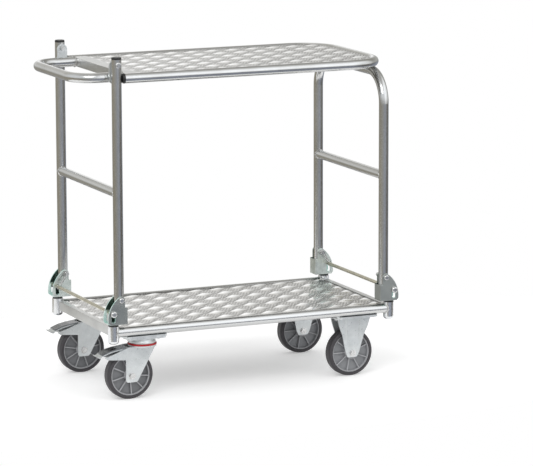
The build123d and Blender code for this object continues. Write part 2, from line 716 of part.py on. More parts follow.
# The pressed channel: the ends of its left and right edges, and where it starts above the axle
CHANNEL_EDGE = [(-19, 24), (21, 24)]
CHANNEL_FLOOR = [(-15, 46), (17, 46)]
CHANNEL_FLARE = 4.0
for side, sign in SIDES.items():
    y = sign * FIXED_Y
    cheek_top = PLATE_BOTTOM_Z - AXLE_Z
    with BuildPart() as fixed_fork:
        with BuildSketch(Plane(origin=(FIXED_X, y, PLATE_BOTTOM_Z))):
            RectangleRounded(PLATE_LENGTH, PLATE_WIDTH, PLATE_ROUND)
            with GridLocations(2 * MOUNT_BOLT_X, 2 * MOUNT_BOLT_Y, 2, 2):
                Circle(MOUNT_BOLT_R + GAP, mode=Mode.SUBTRACT)
        extrude(amount=PLATE_THICK)
        with BuildSketch(upright(1, FIXED_X, y, AXLE_Z)) as cheek:
            top_left, top_right = [(x, cheek_top) for x in FIXED_TOP]
            Polygon(top_left, *FIXED_OUTLINE, top_right, align=None)
            fillet(cheek.vertices().group_by(Axis.Y)[0], FIXED_FOOT_ROUND)
            Circle(AXLE_R + RUNNING, mode=Mode.SUBTRACT)
        extrude(amount=FORK_OUTER, both=True)
        with BuildSketch(Plane(origin=(FIXED_X, y, 0))):
            Rectangle(2 * PLATE_LENGTH, 2 * FORK_INNER)
        extrude(amount=PLATE_BOTTOM_Z, mode=Mode.SUBTRACT)
        for face in SIDES.values():
            for depth, ends in ((0, CHANNEL_EDGE), (FIXED_CHANNEL_DEPTH, CHANNEL_FLOOR)):
                (left_x, low_z), (right_x, _) = ends
                with BuildSketch(upright(1, FIXED_X, y + face * (FORK_OUTER - depth), AXLE_Z)):
                    Polygon(
                        (left_x - CHANNEL_FLARE, cheek_top),
                        (left_x, low_z),
                        (right_x, low_z),
                        (right_x + CHANNEL_FLARE, cheek_top),
                        align=None,
                    )
            loft(ruled=True, mode=Mode.SUBTRACT)
    save(fixed_fork.part, f"fixed_fork_{side}")


def axle_bolt(x, y):
    """An axle through a fork, with a washer and a hexagon at each end."""
    washer_r, washer_thick = AXLE_WASHER
    with BuildPart() as bolt:
        with BuildSketch(upright(1, x, y, AXLE_Z)):
            Circle(AXLE_R)
        extrude(amount=FORK_OUTER, both=True)
        for face in SIDES.values():
            with BuildSketch(upright(1, x, y + face * FORK_OUTER, AXLE_Z)):
                Circle(washer_r)
            extrude(amount=-face * washer_thick)
            with BuildSketch(upright(1, x, y + face * (FORK_OUTER + washer_thick), AXLE_Z)):
                RegularPolygon(AXLE_HEAD_R, 6)
            extrude(amount=-face * (BOLT_HEAD - washer_thick))
    return bolt.part


with BuildPart() as fixed_axle_bolts:
    for sign in SIDES.values():
        add(axle_bolt(FIXED_X, sign * FIXED_Y))
save(fixed_axle_bolts.part, "fixed_axle_bolts")

# Swivel casters: top plate with the bearing head and the king pin, both fixed to the base
for side, sign in SIDES.items():
    with BuildPart() as swivel_plate:
        with BuildSketch(Plane(origin=(SWIVEL_X, sign * SWIVEL_Y, PLATE_BOTTOM_Z))):
            RectangleRounded(PLATE_LENGTH, PLATE_WIDTH, PLATE_ROUND)
            with GridLocations(2 * MOUNT_BOLT_X, 2 * MOUNT_BOLT_Y, 2, 2):
                Circle(MOUNT_BOLT_R + GAP, mode=Mode.SUBTRACT)
        extrude(amount=PLATE_THICK)
        head_bottom = SEAL_TOP_Z + CLEAR
        pin_head_top = CROWN_Z[0] - CLEAR
        with BuildSketch(upright(1, SWIVEL_X, sign * SWIVEL_Y, 0)):
            Polygon(
                (0, PLATE_BOTTOM_Z),
                (SWIVEL_HEAD_R[0], PLATE_BOTTOM_Z),
                (SWIVEL_HEAD_R[0], head_bottom + SWIVEL_HEAD_RIM[1]),
                (SWIVEL_HEAD_R[1], head_bottom + SWIVEL_HEAD_RIM[0]),
                (SWIVEL_HEAD_R[1], head_bottom),
                (KING_PIN_R, head_bottom),
                (KING_PIN_R, pin_head_top),
                (PIN_HEAD[0], pin_head_top),
                (PIN_HEAD[0], pin_head_top - PIN_HEAD[1]),
                (0, pin_head_top - PIN_HEAD[1]),
                align=None,
            )
        revolve(axis=Axis((SWIVEL_X, sign * SWIVEL_Y, 0), (0, 0, 1)))
    save(swivel_plate.part, f"swivel_plate_{side}")

# Bolts of the four casters, nut below and head above the carrier
with BuildPart() as caster_bolts:
    for x, y in CASTERS["left"] + CASTERS["right"]:
        with BuildSketch(Plane(origin=(x, y, PLATE_BOTTOM_Z - BOLT_HEAD))):
            with GridLocations(2 * MOUNT_BOLT_X, 2 * MOUNT_BOLT_Y, 2, 2):
                RegularPolygon(MOUNT_NUT_R, 6)
        extrude(amount=BOLT_HEAD)
        with BuildSketch(Plane(origin=(x, y, PLATE_BOTTOM_Z))):
            with GridLocations(2 * MOUNT_BOLT_X, 2 * MOUNT_BOLT_Y, 2, 2):
                Circle(MOUNT_BOLT_R)
        extrude(amount=PLATE_THICK + CARRIER_THICK)
        with BuildSketch(Plane(origin=(x, y, CARRIER_TOP_Z))):
            with GridLocations(2 * MOUNT_BOLT_X, 2 * MOUNT_BOLT_Y, 2, 2):
                Circle(MOUNT_HEAD_R)
        extrude(amount=BOLT_HEAD)
save(caster_bolts.part, "caster_bolts")

# Moving half of the swivel casters: seal ring, fork with brake wings and axle
WHEEL_X = SWIVEL_X - TRAIL
# Fork cheek from the axle, from the crown round the foot, the leg and the wing
FORK_OUTLINE = [
    (66, 74),
    (18, -13),
    (14, -17.5),
    (-14, -17.5),
    (-17, -12),
    (-17, 44.5),
    (-69, 49),
    (-77, 55.5),
    (-62, 60),
    (-42, 66.5),
    (-18, 75.5),
    (-8, 79),
]
# Pedal from its pin: the line of its upper face
PEDAL_LINE = [
    (6, 2),
    (-19, 2),
    (-26, 5),
    (-32, 5.2),
    (-58, 1.8),
    (-80, -3),
    (-101, -11),
]
PEDAL_LIP = [(-108, -15), (-113, -13), (-113.5, -15.5), (-107, -18.5)]
for side, sign in SIDES.items():
    y = sign * SWIVEL_Y
    with BuildPart() as seal_ring:
        with BuildSketch(Plane(origin=(SWIVEL_X, y, CROWN_Z[1]))):
            ring_sketch(SEAL_R[1], SEAL_R[0])
        extrude(amount=SEAL_TOP_Z - CROWN_Z[1])
        fillet(seal_ring.edges().sort_by(SortBy.LENGTH)[-2:], radius=SEAL_ROUND)
    save(seal_ring.part, f"swivel_seal_{side}")

    crown_top = CROWN_Z[1] - AXLE_Z
    with BuildPart() as swivel_fork:
        with BuildSketch(upright(1, WHEEL_X, y, AXLE_Z)) as cheek:
            bridge = [(x, crown_top) for x in FORK_BRIDGE]
            Polygon(*FORK_OUTLINE, *bridge, align=None)
            fillet(cheek.vertices().group_by(Axis.Y)[0], SWIVEL_FOOT_ROUND)
            Circle(AXLE_R + RUNNING, mode=Mode.SUBTRACT)
            with Locations((PEDAL_PIVOT[0] - WHEEL_X, PEDAL_PIVOT[1] - AXLE_Z)):
                Circle(PEDAL_PIN_R + RUNNING, mode=Mode.SUBTRACT)
        extrude(amount=FORK_OUTER, both=True)
        with BuildSketch(Plane(origin=(WHEEL_X, y, 0))):
            Rectangle(4 * TYRE_R, 2 * FORK_INNER)
        extrude(amount=CROWN_Z[0], mode=Mode.SUBTRACT)
        with BuildSketch(Plane(origin=(WHEEL_X + FORK_BRIDGE[0], y, 0))):
            Rectangle(4 * TYRE_R, 2 * FORK_INNER, align=(Align.MAX, Align.CENTER))
        extrude(amount=2 * CROWN_Z[1], mode=Mode.SUBTRACT)
        with BuildSketch(Plane(origin=(SWIVEL_X, y, CROWN_Z[0]))):
            Circle(CROWN_R)
        extrude(amount=CROWN_Z[1] - CROWN_Z[0])
        with BuildSketch(Plane(origin=(SWIVEL_X, y, CROWN_Z[0]))):
            Circle(KING_PIN_R + RUNNING)
        extrude(amount=2 * (CROWN_Z[1] - CROWN_Z[0]), both=True, mode=Mode.SUBTRACT)
    save(swivel_fork.part, f"swivel_fork_{side}")
    save(axle_bolt(WHEEL_X, y), f"swivel_axle_bolt_{side}")

    # Brake pedal: a bent sheet lever on a cross pin, with a moulded pad along its top
    pedal_plane = upright(1, PEDAL_PIVOT[0], y, PEDAL_PIVOT[1])
    lever_under = [(x, z - PEDAL_SHEET) for x, z in PEDAL_LINE]
    with BuildPart() as lever:
        with BuildSketch(pedal_plane):
            Polygon(*PEDAL_LINE, *PEDAL_LIP, *lever_under[::-1], align=None)
        extrude(amount=PEDAL_HALF_WIDTH, both=True)
        with BuildSketch(pedal_plane):
            Circle(PEDAL_PIN_R)
        extrude(amount=FORK_OUTER + PEDAL_PIN_END, both=True)
    save(lever.part, f"brake_lever_{side}")
    pad_under = PEDAL_LINE[3:]
    pad_top = [(x, z + PEDAL_PAD) for x, z in pad_under]
    with BuildPart() as pad:
        with BuildSketch(pedal_plane):
            Polygon(*pad_under, *pad_top[::-1], align=None)
        extrude(amount=PEDAL_HALF_WIDTH - PEDAL_PAD_INSET, both=True)
        fillet(pad.edges().filter_by(Axis.Y).group_by(Axis.Z)[-1], radius=PEDAL_PAD / 2)
    save(pad.part, f"brake_pad_{side}")

# Wheels: ribbed rims on plain bores, with solid tyres, each rolled to its own angle
WHEELS = {
    "front_left": (WHEEL_X, -SWIVEL_Y, 34),
    "rear_left": (WHEEL_X, SWIVEL_Y, 9),
    "front_right": (FIXED_X, -FIXED_Y, 20),
    "rear_right": (FIXED_X, FIXED_Y, 20),
}


def wheel_rim(x, y, roll):
    ring_inner = RIM_R - RIM_RING
    ring_half = WHEEL_WIDTH / 2 - RIM_INSET
    plane = upright(1, x, y, AXLE_Z)
    with BuildPart() as rim:
        with BuildSketch(plane):
            Circle(RIM_R)
        extrude(amount=RIM_WEB / 2, both=True)
        with BuildSketch(plane):
            ring_sketch(RIM_R, ring_inner)
        extrude(amount=ring_half, both=True)
        with BuildSketch(plane):
            with PolarLocations((HUB_R + ring_inner) / 2, RIB_COUNT, start_angle=roll):
                Rectangle(ring_inner - HUB_R + 2 * RIB_ROOT, RIB_WIDTH)
        extrude(amount=ring_half - RIB_INSET, both=True)
        with BuildSketch(plane):
            Circle(HUB_R)
        extrude(amount=HUB_WIDTH / 2, both=True)
        with BuildSketch(plane):
            Circle(AXLE_R + RUNNING)
        extrude(amount=HUB_WIDTH, both=True, mode=Mode.SUBTRACT)
    return rim.part


def wheel_tyre(x, y):
    with BuildPart() as tyre:
        with BuildSketch(upright(1, x, y, AXLE_Z)):
            ring_sketch(TYRE_R, RIM_R + GAP)
        extrude(amount=WHEEL_WIDTH / 2, both=True)
        outer_edges = tyre.edges().filter_by(GeomType.CIRCLE).sort_by(SortBy.RADIUS)[-2:]
        fillet(outer_edges, radius=TYRE_ROUND)
    return tyre.part


for place, (x, y, roll) in WHEELS.items():
    save(wheel_rim(x, y, roll), f"wheel_rim_{place}")
    save(wheel_tyre(x, y), f"wheel_tyre_{place}")
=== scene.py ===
import json
import math

import bmesh
import bpy
from mathutils import Matrix, Vector


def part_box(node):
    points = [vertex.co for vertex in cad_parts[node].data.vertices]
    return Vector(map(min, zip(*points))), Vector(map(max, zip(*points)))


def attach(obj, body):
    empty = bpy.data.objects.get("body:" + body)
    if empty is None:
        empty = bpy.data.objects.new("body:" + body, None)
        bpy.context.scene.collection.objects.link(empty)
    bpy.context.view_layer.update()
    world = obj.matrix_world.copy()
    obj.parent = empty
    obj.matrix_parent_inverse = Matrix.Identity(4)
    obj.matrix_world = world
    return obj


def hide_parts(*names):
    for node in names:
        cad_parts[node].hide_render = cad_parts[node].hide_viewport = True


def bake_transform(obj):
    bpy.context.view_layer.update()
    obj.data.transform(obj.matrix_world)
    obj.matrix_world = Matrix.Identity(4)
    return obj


# Folding table trolley in plated steel. Metres, +Z up, handle towards -X, back towards +Y.
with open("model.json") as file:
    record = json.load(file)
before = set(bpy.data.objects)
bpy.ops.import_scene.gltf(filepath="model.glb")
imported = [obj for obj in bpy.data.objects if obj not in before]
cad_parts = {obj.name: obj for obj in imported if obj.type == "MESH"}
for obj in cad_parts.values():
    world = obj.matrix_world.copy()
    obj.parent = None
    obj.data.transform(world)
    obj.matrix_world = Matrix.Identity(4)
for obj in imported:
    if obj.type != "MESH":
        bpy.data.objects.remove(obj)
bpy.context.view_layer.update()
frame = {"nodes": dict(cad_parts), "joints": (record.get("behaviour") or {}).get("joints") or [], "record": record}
JOINT_AT = {joint["name"]: joint.get("pos_m") for joint in frame["joints"]}
SLOT_OF = {entry["node"]: entry["material_slot"] for entry in frame["record"]["subparts"]}
X, Y, Z = range(3)

# Camera
IMAGE_WIDTH_PX = 533
FOCAL_PX = 3321.66
SENSOR_MM = 36.0
CAMERA_AT = Vector((-3.504, -8.3437, 2.0122))
CAMERA_AZIMUTH = math.radians(23.77)
CAMERA_DROP = math.radians(10.11)
CAMERA_ROLL = math.radians(0.17)
CAMERA_REACH = 200

# Floor, lamps and the light of the surroundings
FLOOR_HALF = (1.6, 0.85)
FLOOR_MIDDLE_Y = 0.12
FLOOR_SEGMENTS = 96
FLOOR_LIFT = 0.30
LAMP_TARGET = Vector((0, 0, 0.4))
PLAIN_LIGHT = 0.8

# Pressed decks: a lattice of lozenges, painted shadow bands beside them and knurled fields between
LATTICE = {"base_deck": (0.0653, 0.0615), "shelf_deck": (0.0620, 0.0612)}
LATTICE_ORIGIN = {"base_deck": (-0.1610, 0.1290), "shelf_deck": (-0.1693, 0.1075)}
LOZENGE_HALF = (0.56, 0.37)  # of a cell, along and across the diagonal
LOZENGE_POWER = (4, 2)  # of the dome's fall, along and across the diagonal
LOZENGE_HEIGHT = 0.0016
LOZENGE_HIGHLIGHT = 1.3  # painted highlight: a dome's colour is fully bright before its crown
# Half width of the flat painted shadow band beside a lozenge, across the diagonal.
SHADOW_BAND_HALF = 0.48
FIELD_SHARE = 0.2
DOT_HEIGHT = 0.0010
DOT_PITCH = (0.0095, 0.0170)
DECK_STEP = 0.00225
DECK_SINK = 0.0006  # of the flat face below the top of the sheet
DECK_BORDER = 0.004
PLAIN_BORDER = 0.4  # share of the border without any pattern
BASE_DECK_NOTCH = 0.014
SHELF_DECK_CORNER = 0.0939

# Hinge brackets: ranges over which one colour passes into another, placing painted light on the rear brackets,
# painted shade inside and a painted teal sheen on the backs and lower margins
BASE_MIDDLE_X = 0.0365
LEG_Y = 0.215
BRACKET_BACK = (0.388, 0.400)  # from the middle of the base
BRACKET_MARGIN = (0.406, 0.411)  # from the middle of the base
BRACKET_MARGIN_TOP = (0.2475, 0.2535)  # above the floor
BRACKET_INSIDE = (0.0155, 0.0165)  # across, from the middle of a leg
FACING_SIDEWAYS = (0.5, 0.9)  # share of a face's normal

# Wheel rims: middles of the wheels, and how far the ring and the ribs stand from there, where the painted shade of
# the recessed web passes into the painted highlight of the ring and the ribs
SWIVEL_WHEEL_Y = 0.183
FIXED_WHEEL_Y = 0.165
RIM_RECESS = (0.0085, 0.0105)

# Return springs
SPRING_WIRE = 0.0007
SPRING_COIL = 0.00375
SPRING_HOOK = 0.00605
SPRING_TURNS = 9
SPRING_LEAD = 0.0085
TURN_STEPS = 20
HOOK_SWEEP = math.radians(220)
HOOK_STEPS = 14

# Weld beads: a saddle where a tube meets another, a ring at the end of a tube
BEAD_RADIUS = 0.0022
BEAD_RIPPLE = 0.16
SADDLE_STEPS = 44
SADDLE_RIPPLES = 14
RING_STEPS = 40
RING_RIPPLES = 12
WIRE_SIDES = 8

# Broken edges of sheet and moulded pieces
EDGE_BREAK = 0.0007
EDGE_SEGMENTS = 2
EDGE_ANGLE = math.radians(40)
MERGE_REACH = 1e-5

# Values that the nodes share
NOISE_RANGE = (0.3, 0.7)
NOISE_ROUGHNESS = 0.6
MIX_COLOURS = (6, 7)
MIX_RESULT = 2
FULL_RANGE = (0, 1)
DIRECTION_RANGE = (-1, 1)
WHITE = (1, 1, 1, 1)


# Node helpers
def set_inputs(tree, node, inputs):
    """Links a socket, or writes a value, to each input."""
    for key, value in inputs.items():
        if isinstance(value, bpy.types.NodeSocket):
            tree.links.new(value, node.inputs[key])
        else:
            node.inputs[key].default_value = value


def add_node(tree, kind, inputs=None, **settings):
    made = tree.nodes.new(kind)
    for key, value in settings.items():
        setattr(made, key, value)
    set_inputs(tree, made, inputs or {})
    return made


def ramp(tree, factor, stops):
    """A colour ramp; stops are (position, (r, g, b))."""
    made = add_node(tree, "ShaderNodeValToRGB", {"Fac": factor})
    elements = made.color_ramp.elements
    while len(elements) < len(stops):
        elements.new(0.5)
    for element, (position, colour) in zip(elements, stops):
        element.position = position
        element.color = (*colour, 1)
    return made.outputs["Color"]


def two_tone(tree, factor, dark, light, between=NOISE_RANGE):
    start, stop = between
    return ramp(tree, factor, [(start, dark), (stop, light)])


def spread(tree, factor, low, high, between=NOISE_RANGE):
    """Maps a range of a factor to low..high."""
    start, stop = between
    made = add_node(
        tree,
        "ShaderNodeMapRange",
        {"Value": factor, "From Min": start, "From Max": stop, "To Min": low, "To Max": high},
    )
    return made.outputs["Result"]


def absolute(tree, value):
    return add_node(tree, "ShaderNodeMath", {0: value}, operation="ABSOLUTE").outputs["Value"]


def combined(tree, operation, first, second):
    made = add_node(tree, "ShaderNodeMath", {0: first, 1: second}, operation=operation)
    return made.outputs["Value"]


def along_axis(tree, direction, axis):
    made = add_node(tree, "ShaderNodeVectorMath", {0: direction, 1: axis}, operation="DOT_PRODUCT")
    return made.outputs["Value"]


def multiplied(tree, first, second):
    """The product of two colours."""
    made = add_node(tree, "ShaderNodeVectorMath", {0: first, 1: second}, operation="MULTIPLY")
    return made.outputs["Vector"]


def blended(tree, share, first, second):
    """The first colour, passing into the second where the share is 1."""
    colours = dict(zip(MIX_COLOURS, (first, second)))
    made = add_node(tree, "ShaderNodeMix", {0: share, **colours}, data_type="RGBA")
    return made.outputs[MIX_RESULT]


def object_place(tree):
    return add_node(tree, "ShaderNodeTexCoord").outputs["Object"]


def split(tree, vector):
    return add_node(tree, "ShaderNodeSeparateXYZ", {"Vector": vector}).outputs


def noise(tree, scale, stretch=(1, 1, 1), detail=4):
    placed = add_node(tree, "ShaderNodeMapping", {"Vector": object_place(tree), "Scale": stretch})
    made = add_node(
        tree,
        "ShaderNodeTexNoise",
        {
            "Vector": placed.outputs["Vector"],
            "Scale": scale,
            "Detail": detail,
            "Roughness": NOISE_ROUGHNESS,
        },
    )
    return made.outputs["Fac"]


def bumped(tree, height, strength, distance):
    made = add_node(
        tree,
        "ShaderNodeBump",
        {"Height": height, "Strength": strength, "Distance": distance},
    )
    return made.outputs["Normal"]


def new_material(name):
    made = bpy.data.materials.new(name)
    made.use_nodes = True
    tree = made.node_tree
    return made, tree, tree.nodes["Principled BSDF"]


# Materials
def plated_steel(name, dark, light, rough, stretch=(1, 1, 1), cloud=9.0, metal=1.0):
    """Plated steel: cloudy zinc colour, drawn streaks along the stretch and a fine grain."""
    made, tree, shader = new_material(name)
    clouds = noise(tree, cloud, stretch)
    grains = noise(tree, 260.0, stretch, detail=3)
    set_inputs(tree, shader, {
        "Base Color": two_tone(tree, clouds, dark, light),
        "Roughness": spread(tree, grains, *rough),
        "Metallic": metal,
        "Normal": bumped(tree, grains, strength=0.025, distance=0.0004),
    })
    return made


def moulded_plastic(name, dark, light, rough, grain=900.0, relief=0.12):
    """Plastic or rubber with a slightly cloudy colour and a fine moulded grain."""
    made, tree, shader = new_material(name)
    clouds = noise(tree, 22.0)
    grains = noise(tree, grain, detail=2)
    set_inputs(tree, shader, {
        "Base Color": two_tone(tree, clouds, dark, light),
        "Roughness": spread(tree, clouds, *rough),
        "Normal": bumped(tree, grains, strength=relief, distance=0.0003),
    })
    return made


def patterned_sheet(name):
    """Pressed sheet: painted shadow bands, duller knurled fields with painted shade in the dot hollows, and smooth
    lozenges with a painted highlight towards the crown.
    """
    made, tree, shader = new_material(name)
    lozenge = add_node(tree, "ShaderNodeAttribute", attribute_name="lozenge").outputs["Fac"]
    grains = noise(tree, 420.0, detail=3)
    # The colour follows the share: darkest in the painted shadow bands, painted shade in the dot hollows, and a
    # painted highlight up to the lozenge crowns.
    tint = ramp(
        tree,
        lozenge,
        [
            (0.0, (0.22, 0.217, 0.21)),
            (FIELD_SHARE, (0.46, 0.456, 0.443)),
            (2 * FIELD_SHARE, (0.68, 0.676, 0.662)),
            (0.95, (0.79, 0.79, 0.78)),
        ],
    )
    set_inputs(tree, shader, {
        "Base Color": tint,
        "Roughness": spread(tree, lozenge, low=0.30, high=0.09, between=(0, 0.9)),
        "Metallic": 1.0,
        "Normal": bumped(tree, grains, strength=0.10, distance=0.0004),
    })
    return made


def passivated_plate(name):
    """Bracket plate: grey; painted light makes the rear brackets paler, painted shade makes the inside dark green,
    and a painted sheen lifts the teal passivation tint on the backs and lower margins.
    """
    made, tree, shader = new_material(name)
    clouds = noise(tree, 12.0, detail=2)
    blotches = noise(tree, 46.0, detail=2)
    facing = add_node(tree, "ShaderNodeNewGeometry").outputs["Normal"]
    sideways = absolute(tree, split(tree, facing)["Y"])
    place = split(tree, object_place(tree))
    from_middle = absolute(tree, combined(tree, "SUBTRACT", place["X"], BASE_MIDDLE_X))
    from_leg = absolute(tree, combined(tree, "SUBTRACT", absolute(tree, place["Y"]), LEG_Y))
    # Backs of the brackets, which get the painted teal sheen.
    back = combined(
        tree,
        "MULTIPLY",
        spread(tree, sideways, 1, 0, FACING_SIDEWAYS),
        spread(tree, from_middle, 0, 1, BRACKET_BACK),
    )
    # Inside faces of the cheeks, which get painted shade.
    inside_shade_mask = combined(
        tree,
        "MULTIPLY",
        spread(tree, sideways, 0, 1, FACING_SIDEWAYS),
        spread(tree, from_leg, 1, 0, BRACKET_INSIDE),
    )
    # Lower outer margins; their inside faces get the painted teal sheen.
    margin = combined(
        tree,
        "MULTIPLY",
        spread(tree, from_middle, 0, 1, BRACKET_MARGIN),
        spread(tree, place["Z"], 1, 0, BRACKET_MARGIN_TOP),
    )
    # Painted sheen: the teal passivation tint, brighter and less metallic, on the backs and the lower margins.
    teal_painted_sheen = combined(tree, "MAXIMUM", back, combined(tree, "MULTIPLY", inside_shade_mask, margin))
    front_grey = two_tone(tree, clouds, (0.35, 0.37, 0.355), (0.42, 0.44, 0.42))
    # Painted light: the rear brackets' grey is paler.
    rear_painted_light_grey = two_tone(tree, blotches, (0.50, 0.55, 0.52), (0.66, 0.71, 0.68), (0.35, 0.65))
    grey = blended(tree, spread(tree, place["Y"], 0, 1, (-LEG_Y, LEG_Y)), front_grey, rear_painted_light_grey)
    # Painted shade inside the brackets, in dark green.
    shaded = two_tone(tree, blotches, (0.055, 0.105, 0.080), (0.115, 0.175, 0.145), (0.35, 0.65))
    teal = two_tone(tree, blotches, (0.40, 0.66, 0.60), (0.76, 0.92, 0.88), (0.38, 0.62))
    set_inputs(tree, shader, {
        "Base Color": blended(tree, teal_painted_sheen, blended(tree, inside_shade_mask, grey, shaded), teal),
        "Metallic": spread(tree, teal_painted_sheen, low=0.85, high=0.35, between=FULL_RANGE),
        "Roughness": spread(tree, clouds, low=0.22, high=0.36),
    })
    return made


def wheel_rim(name, wheel_y, web):
    """Moulded rim: the ring and the ribs stand in front of the recessed web; a painted highlight makes them
    lighter and painted shade makes the web darker.
    """
    made, tree, shader = new_material(name)
    across = absolute(tree, split(tree, object_place(tree))["Y"])
    from_wheel = absolute(tree, combined(tree, "SUBTRACT", across, wheel_y))
    # Painted highlight share: 1 on the ring and rib faces, 0 on the web in painted shade.
    raised_highlight_share = spread(tree, from_wheel, 0, 1, RIM_RECESS)
    set_inputs(tree, shader, {
        "Base Color": two_tone(tree, raised_highlight_share, web, (0.40, 0.405, 0.42), FULL_RANGE),
        "Roughness": spread(tree, noise(tree, 60.0), low=0.38, high=0.5),
        "Normal": bumped(tree, noise(tree, 900.0, detail=2), strength=0.1, distance=0.0003),
    })
    return made


TUBE = ((0.53, 0.53, 0.52), (0.63, 0.635, 0.635), (0.14, 0.23))
DRAWN = 0.15
MATERIALS = {
    "tube_along": plated_steel("tube_along", *TUBE, stretch=(DRAWN, 1, 1)),
    "tube_across": plated_steel("tube_across", *TUBE, stretch=(1, DRAWN, 1)),
    "tube_upright": plated_steel("tube_upright", *TUBE, stretch=(1, 1, DRAWN)),
    "zinc_plated_tube": plated_steel("tube_bent", *TUBE),
    "weld": plated_steel("weld", (0.42, 0.41, 0.39), (0.66, 0.66, 0.65), (0.28, 0.45), cloud=160.0),
    "patterned_sheet": patterned_sheet("patterned_sheet"),
    "plain_sheet": plated_steel(
        "plain_sheet", (0.54, 0.545, 0.54), (0.67, 0.675, 0.67), (0.30, 0.42), cloud=14.0
    ),
    "yellow_zinc": plated_steel(
        "yellow_zinc", (0.46, 0.44, 0.36), (0.60, 0.57, 0.46), (0.20, 0.34), cloud=42.0
    ),
    "bracket": passivated_plate("bracket"),
    "stub": plated_steel("stub", (0.70, 0.71, 0.72), (0.78, 0.79, 0.80), (0.12, 0.20)),
    # Rim webs: plastic grey darkened by painted shade in the recess.
    "rim_swivel": wheel_rim("rim_swivel", SWIVEL_WHEEL_Y, (0.20, 0.204, 0.214)),
    "rim_fixed": wheel_rim("rim_fixed", FIXED_WHEEL_Y, (0.28, 0.286, 0.30)),
    "blue_zinc": plated_steel(
        "blue_zinc", (0.56, 0.585, 0.59), (0.72, 0.745, 0.75), (0.26, 0.40), cloud=26.0, metal=0.75
    ),
    # Brake pads: zinc darkened as painted shade beneath the base.
    "dark_zinc": plated_steel(
        "dark_zinc", (0.15, 0.155, 0.165), (0.24, 0.25, 0.26), (0.20, 0.32), cloud=30.0, metal=0.9
    ),
    "bright_steel": plated_steel(
        "bright_steel", (0.50, 0.50, 0.49), (0.72, 0.72, 0.72), (0.16, 0.28), cloud=90.0
    ),
    "black_plastic": moulded_plastic(
        "black_plastic", (0.008, 0.008, 0.008), (0.016, 0.016, 0.016), (0.34, 0.48)
    ),
    "dark_grey_plastic": moulded_plastic(
        "dark_grey_plastic", (0.050, 0.051, 0.053), (0.078, 0.079, 0.081), (0.34, 0.48)
    ),
    "red_plastic": moulded_plastic(
        "red_plastic", (0.34, 0.003, 0.007), (0.46, 0.006, 0.010), (0.40, 0.52)
    ),
    "grey_tyre": moulded_plastic(
        "grey_tyre", (0.036, 0.033, 0.037), (0.052, 0.048, 0.053), (0.46, 0.62), grain=420.0, relief=0.2
    ),
}
# Starts of node names whose look differs from their slot's
OWN_LOOK = {
    "base_rail": "tube_along",
    "left_leg": "tube_upright",
    "corner_stubs": "stub",
    "left_crossbar": "tube_across",
    "right_crossbar": "tube_across",
    "hinge_bracket": "bracket",
    "lock_rod_caps": "bright_steel",
    "hinge_plates": "blue_zinc",
    "caster_carrier": "blue_zinc",
    "brake_pad": "dark_zinc",
    "wheel_rim_front_left": "rim_swivel",
    "wheel_rim_rear_left": "rim_swivel",
    "wheel_rim_front_right": "rim_fixed",
    "wheel_rim_rear_right": "rim_fixed",
}
SHARP_EDGED = (
    "hinge_bracket",
    "hinge_plates",
    "swivel_fork",
    "swivel_plate",
    "fixed_fork",
    "brake_lever",
    "brake_pad",
    "base_end_bar",
    "shelf_end_profile",
    "caster_carrier",
    "support_clips",
    "wheel_rim",
)


def material_for(node):
    for start, look in OWN_LOOK.items():
        if node.startswith(start):
            return MATERIALS[look]
    return MATERIALS[SLOT_OF[node]]


def dress(node, piece):
    """Gives a CAD node its material, and breaks the sharp edges of sheet and moulded pieces."""
    piece.data.materials.clear()
    piece.data.materials.append(material_for(node))
    if node.startswith(SHARP_EDGED):
        merge = piece.modifiers.new("weld", "WELD")
        merge.merge_threshold = MERGE_REACH
        edge = piece.modifiers.new("edge", "BEVEL")
        edge.width = EDGE_BREAK
        edge.segments = EDGE_SEGMENTS
        edge.limit_method = "ANGLE"
        edge.angle_limit = EDGE_ANGLE
        edge.harden_normals = True


for node_name, node_object in frame["nodes"].items():
    dress(node_name, node_object)


# Mesh helpers
def finished(name, bm, material, body, replaced=()):
    """Puts a mesh in the scene as a smooth piece, which rides on a body if one is named."""
    for face in bm.faces:
        face.smooth = True
    mesh_data = bpy.data.meshes.new(name)
    bm.to_mesh(mesh_data)
    bm.free()
    mesh_data.materials.append(material)
    made = bpy.data.objects.new(name, mesh_data)
    bpy.context.scene.collection.objects.link(made)
    if body:
        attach(made, body)
    if replaced:
        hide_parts(*replaced)
    return made


def tube_mesh(bm, points, radius, closed=False, ripples=0):
    """Adds a round tube along points; ripples swell it like the scales of a weld."""
    count = len(points)
    rings = []
    side = None
    for index, point in enumerate(points):
        after = points[(index + 1) % count] if closed or index + 1 < count else point
        before = points[index - 1] if closed or index else point
        along = (after - before).normalized()
        if side is None:
            side = along.orthogonal().normalized()
        side = (side - along * side.dot(along)).normalized()
        other = along.cross(side)
        size = radius * (1 + BEAD_RIPPLE * math.sin(math.tau * ripples * index / count))
        ring = []
        for step in range(WIRE_SIDES):
            angle = math.tau * step / WIRE_SIDES
            ring.append(bm.verts.new(point + (side * math.cos(angle) + other * math.sin(angle)) * size))
        rings.append(ring)
    spans = count if closed else count - 1
    for index in range(spans):
        ring, following = rings[index], rings[(index + 1) % count]
        for step in range(WIRE_SIDES):
            beside = (step + 1) % WIRE_SIDES
            bm.faces.new((ring[step], ring[beside], following[beside], following[step]))
    if not closed:
        bm.faces.new(rings[0][::-1])
        bm.faces.new(rings[-1])


